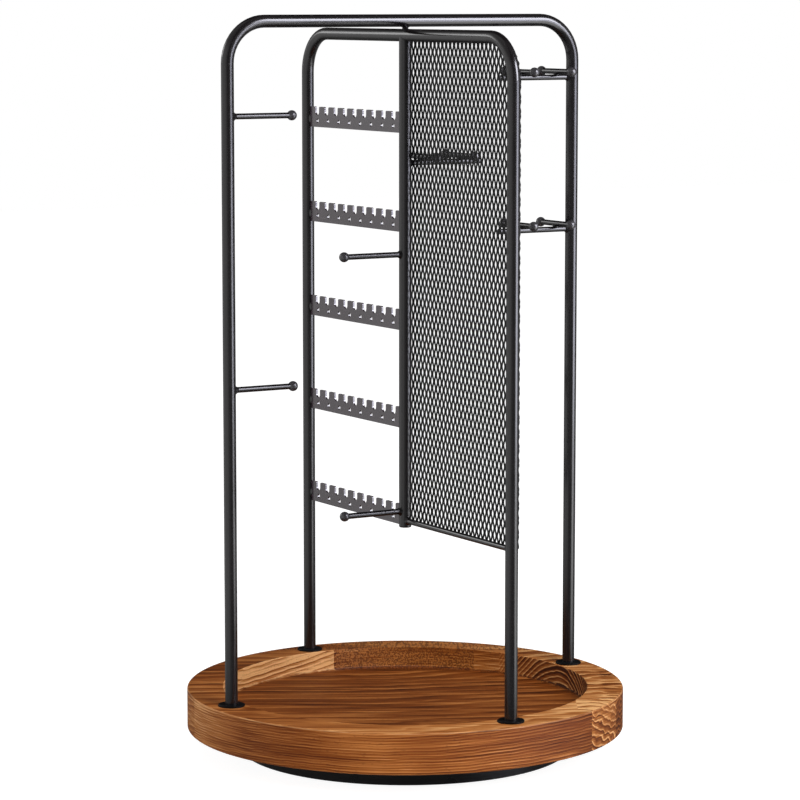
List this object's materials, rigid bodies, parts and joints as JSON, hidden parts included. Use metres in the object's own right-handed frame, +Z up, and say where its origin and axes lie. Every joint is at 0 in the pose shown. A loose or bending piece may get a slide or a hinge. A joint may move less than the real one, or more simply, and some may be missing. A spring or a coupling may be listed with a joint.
{
  "type": "rotating jewelry stand",
  "caption": "Revolving round wooden tray under crossed bent-tube arches that carry notched strips, a mesh panel, ball-ended pegs and cross-bar hangers.",
  "frame": {"origin": "on the ground under the turning axis, the centre of the bounding box's base", "axes": "+Z up along the turning axis; +X towards the leg with the hangers, -X the leg with the pegs, +Y the strips, -Y the mesh"},
  "size_m": [0.23, 0.23, 0.3857],
  "materials": {
    "black_coat": "satin black powder coat",
    "tray_wood": "brown stain, matt lacquer",
    "disc_plastic": "satin black",
    "foot_rubber": "matt black",
    "bearing_steel": "turned",
    "zinc_screw": "bright zinc plate",
    "cage_nylon": "natural nylon",
    "ball_steel": "polished",
    "brass_bush": "turned"
  },
  "bodies": {
    "base": {"base_disc": "disc_plastic", "rubber_feet": "foot_rubber", "bearing_inner_ring": "bearing_steel", "base_screws": "zinc_screw"},
    "cage": {"bearing_cage": "cage_nylon", "bearing_balls": "ball_steel"},
    "carousel": {"bearing_outer_ring": "bearing_steel", "tray_screws": "zinc_screw", "tray": "tray_wood", "collar_hanger_leg": "black_coat", "collar_strip_leg": "black_coat", "collar_peg_leg": "black_coat", "collar_mesh_leg": "black_coat", "leg_inserts": "brass_bush", "leg_bolts": "zinc_screw", "leg_bolt_washers": "zinc_screw", "peg_arch": "black_coat", "panel_arch": "black_coat", "crossing_weld": "black_coat", "centre_post": "black_coat", "post_plug": "black_coat", "earring_strip_1": "black_coat", "earring_strip_2": "black_coat", "earring_strip_3": "black_coat", "earring_strip_4": "black_coat", "earring_strip_5": "black_coat", "mesh_panel": "black_coat", "mesh_rod": "black_coat", "bracelet_peg_1": "black_coat", "bracelet_peg_2": "black_coat", "bracelet_peg_3": "black_coat", "bracelet_peg_4": "black_coat", "bracelet_ball_1": "black_coat", "bracelet_ball_2": "black_coat", "bracelet_ball_3": "black_coat", "bracelet_ball_4": "black_coat", "hanger_rod_1": "black_coat", "hanger_rod_2": "black_coat", "hanger_rod_3": "black_coat", "hook_rod_1": "black_coat", "hook_rod_2": "black_coat", "hook_rod_3": "black_coat", "hook_rod_4": "black_coat", "hook_rod_5": "black_coat", "hook_rod_6": "black_coat", "hook_ball_1_front": "black_coat", "hook_ball_1_back": "black_coat", "hook_ball_2_front": "black_coat", "hook_ball_2_back": "black_coat", "hook_ball_3_front": "black_coat", "hook_ball_3_back": "black_coat", "hook_ball_4_front": "black_coat", "hook_ball_4_back": "black_coat", "hook_ball_5_front": "black_coat", "hook_ball_5_back": "black_coat", "hook_ball_6_front": "black_coat", "hook_ball_6_back": "black_coat"}
  },
  "joints": [
    {"name": "turntable_spin", "type": "hinge", "parent": "base", "child": "carousel", "pos_m": [0, 0, 0.0085], "axis": [0, 0, 1], "continuous": true},
    {"name": "cage_spin", "type": "hinge", "parent": "base", "child": "cage", "pos_m": [0, 0, 0.0085], "axis": [0, 0, 1], "continuous": true}
  ],
  "couplings": [
    {"joint": "cage_spin", "follows": "turntable_spin", "ratio": 0.52}
  ]
}
